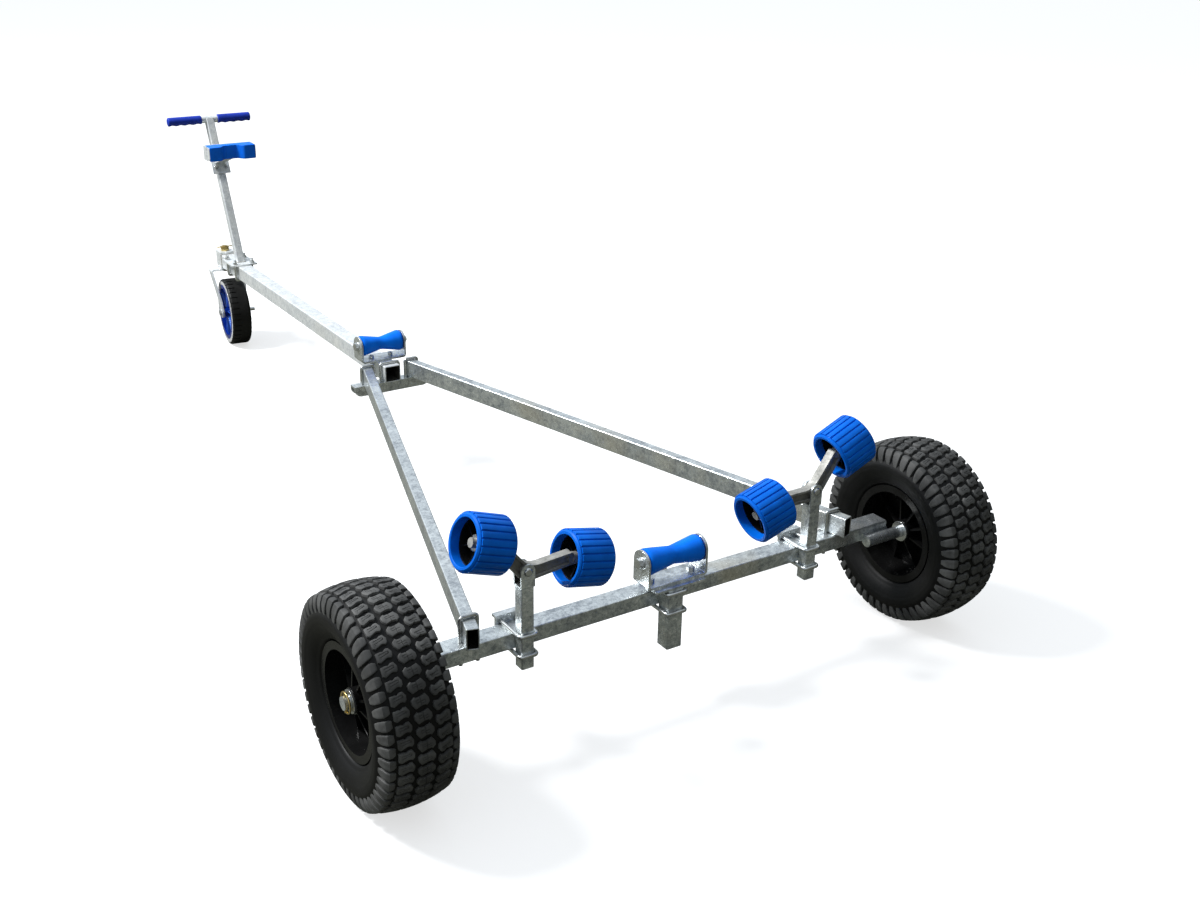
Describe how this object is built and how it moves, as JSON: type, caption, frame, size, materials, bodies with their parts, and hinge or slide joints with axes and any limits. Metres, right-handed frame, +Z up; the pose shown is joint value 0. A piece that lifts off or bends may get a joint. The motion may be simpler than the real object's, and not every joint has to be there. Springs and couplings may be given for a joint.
{
  "type": "boat launching trailer",
  "caption": "Galvanised hand trolley for launching a small boat, with two turf wheels, a front caster, rocking and keel rollers, a bow chock and a handle.",
  "frame": {"origin": "on the ground, at the middle of the length and the width", "axes": "+X to the right, +Y forward to the handle, +Z up"},
  "size_m": [1.4054, 2.8579, 0.745],
  "materials": {
    "galvanised_steel": "hot-dip galvanised, spangled",
    "cast_galvanised": "galvanised casting",
    "zinc_hardware": "bright zinc plate",
    "gold_zinc": "yellow zinc plate",
    "tyre": "matt rubber",
    "caster_tyre": "solid rubber",
    "black_plastic": "moulded, glossy",
    "blue_plastic": "moulded, glossy",
    "blue_roller": "moulded polyurethane",
    "blue_rubber": "satin rubber",
    "blue_grip": "soft vinyl"
  },
  "bodies": {
    "chassis": {"cross_beam": "galvanised_steel", "stub_axles": "galvanised_steel", "axle_washers": "zinc_hardware", "lynch_pins": "gold_zinc", "leg_right": "galvanised_steel", "leg_left": "galvanised_steel", "spine": "galvanised_steel", "leg_clamps": "zinc_hardware", "apex_bar": "galvanised_steel", "apex_clamps": "zinc_hardware", "post_right": "galvanised_steel", "post_left": "galvanised_steel", "post_clamps": "zinc_hardware", "post_plates": "galvanised_steel", "keel_stem": "galvanised_steel", "stem_clamps": "zinc_hardware", "stem_plate": "galvanised_steel", "pivot_pins": "zinc_hardware", "keel_bracket_rear": "galvanised_steel", "keel_pin_rear": "zinc_hardware", "keel_bracket_front": "galvanised_steel", "keel_pin_front": "zinc_hardware", "mast": "galvanised_steel", "mast_foot": "galvanised_steel", "foot_clamp": "zinc_hardware", "grips": "blue_grip", "chock_bracket": "galvanised_steel", "chock_clamp": "zinc_hardware", "bow_chock": "blue_rubber", "caster_head": "galvanised_steel", "kingpin": "gold_zinc", "handle_bar": "galvanised_steel", "keel_base_bolts": "zinc_hardware", "keel_clamp_front": "zinc_hardware"},
    "wheel_left": {"tyre_left": "tyre", "rim_left": "black_plastic"},
    "wheel_right": {"tyre_right": "tyre", "rim_right": "black_plastic"},
    "rocker_left": {"rocker_left": "cast_galvanised", "spindle_pins_left": "zinc_hardware"},
    "rocker_right": {"rocker_right": "cast_galvanised", "spindle_pins_right": "zinc_hardware"},
    "wobble_left_outer": {"roller_left_outer": "blue_roller"},
    "wobble_left_inner": {"roller_left_inner": "blue_roller"},
    "wobble_right_outer": {"roller_right_outer": "blue_roller"},
    "wobble_right_inner": {"roller_right_inner": "blue_roller"},
    "keel_roller_rear": {"keel_roller_rear": "blue_roller"},
    "keel_roller_front": {"keel_roller_front": "blue_roller"},
    "caster_fork": {"caster_fork": "galvanised_steel", "caster_axle": "zinc_hardware"},
    "caster_wheel": {"caster_tyre": "caster_tyre", "caster_rim": "blue_plastic"}
  },
  "joints": [
    {"name": "wheel_left_spin", "type": "hinge", "parent": "chassis", "child": "wheel_left", "pos_m": [-0.63, -1.229, 0.2], "axis": [1, 0, 0], "continuous": true},
    {"name": "wheel_right_spin", "type": "hinge", "parent": "chassis", "child": "wheel_right", "pos_m": [0.63, -1.229, 0.2], "axis": [1, 0, 0], "continuous": true},
    {"name": "rocker_left_tilt", "type": "hinge", "parent": "chassis", "child": "rocker_left", "pos_m": [-0.336, -1.2295, 0.361], "axis": [0, 1, 0], "range_deg": [-16, 13]},
    {"name": "rocker_right_tilt", "type": "hinge", "parent": "chassis", "child": "rocker_right", "pos_m": [0.336, -1.2295, 0.361], "axis": [0, -1, 0], "range_deg": [-20, 9]},
    {"name": "roller_left_outer_spin", "type": "hinge", "parent": "rocker_left", "child": "wobble_left_outer", "pos_m": [-0.41857, -1.2295, 0.43316], "axis": [-0.9455, 0, 0.3256], "continuous": true},
    {"name": "roller_left_inner_spin", "type": "hinge", "parent": "rocker_left", "child": "wobble_left_inner", "pos_m": [-0.21362, -1.2295, 0.35227], "axis": [-0.9744, 0, 0.225], "continuous": true},
    {"name": "roller_right_outer_spin", "type": "hinge", "parent": "rocker_right", "child": "wobble_right_outer", "pos_m": [0.41333, -1.2295, 0.43875], "axis": [0.9205, 0, 0.3907], "continuous": true},
    {"name": "roller_right_inner_spin", "type": "hinge", "parent": "rocker_right", "child": "wobble_right_inner", "pos_m": [0.21453, -1.2295, 0.34375], "axis": [0.9563, 0, 0.2924], "continuous": true},
    {"name": "keel_rear_spin", "type": "hinge", "parent": "chassis", "child": "keel_roller_rear", "pos_m": [0, -1.213, 0.294], "axis": [1, 0, 0], "continuous": true},
    {"name": "keel_front_spin", "type": "hinge", "parent": "chassis", "child": "keel_roller_front", "pos_m": [0, 0.124, 0.336], "axis": [1, 0, 0], "continuous": true},
    {"name": "caster_swivel", "type": "hinge", "parent": "chassis", "child": "caster_fork", "pos_m": [0, 1.371, 0.2445], "axis": [0, 0, 1], "continuous": true},
    {"name": "caster_spin", "type": "hinge", "parent": "caster_fork", "child": "caster_wheel", "pos_m": [-0.00742, 1.30039, 0.11], "axis": [0.9945, -0.1045, 0], "continuous": true}
  ]
}
